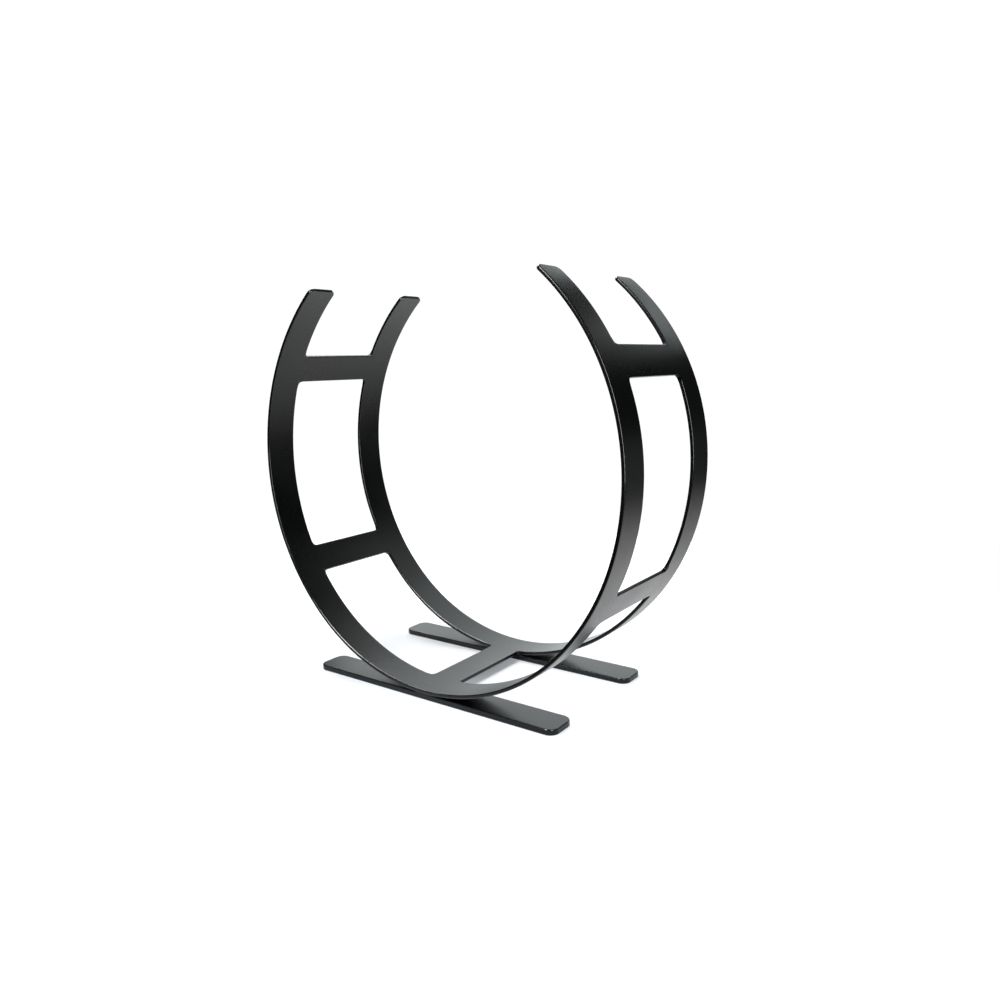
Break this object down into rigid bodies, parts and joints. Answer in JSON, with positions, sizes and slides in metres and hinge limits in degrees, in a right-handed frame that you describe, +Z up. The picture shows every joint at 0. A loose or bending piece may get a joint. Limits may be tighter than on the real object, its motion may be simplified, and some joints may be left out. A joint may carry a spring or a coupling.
{
  "type": "firewood log rack",
  "caption": "Round open-top firewood rack: two rolled flat-bar hoops joined by flush cross-bars, each hoop on a flat bar foot, black powder coat.",
  "frame": {"origin": "on the floor, under the middle of the rack: the bottom centre of its bounding box", "axes": "+Z up, +X across the hoops, +Y from the front hoop to the rear hoop along the logs"},
  "size_m": [0.7338, 0.296, 0.6864],
  "materials": {
    "powder_coat": "satin black powder coat with a very fine orange peel",
    "coated_weld": "the same satin black powder coat over a dressed weld"
  },
  "bodies": {
    "root": {"hoop_front": "powder_coat", "hoop_rear": "powder_coat", "foot_front": "powder_coat", "foot_rear": "powder_coat", "cross_bar_bottom": "powder_coat", "cross_bar_lower_left": "powder_coat", "cross_bar_lower_right": "powder_coat", "cross_bar_upper_left": "powder_coat", "cross_bar_upper_right": "powder_coat", "bar_welds_bottom": "coated_weld", "bar_welds_lower_left": "coated_weld", "bar_welds_lower_right": "coated_weld", "bar_welds_upper_left": "coated_weld", "bar_welds_upper_right": "coated_weld", "foot_welds_front": "coated_weld", "foot_welds_rear": "coated_weld"}
  },
  "joints": []
}
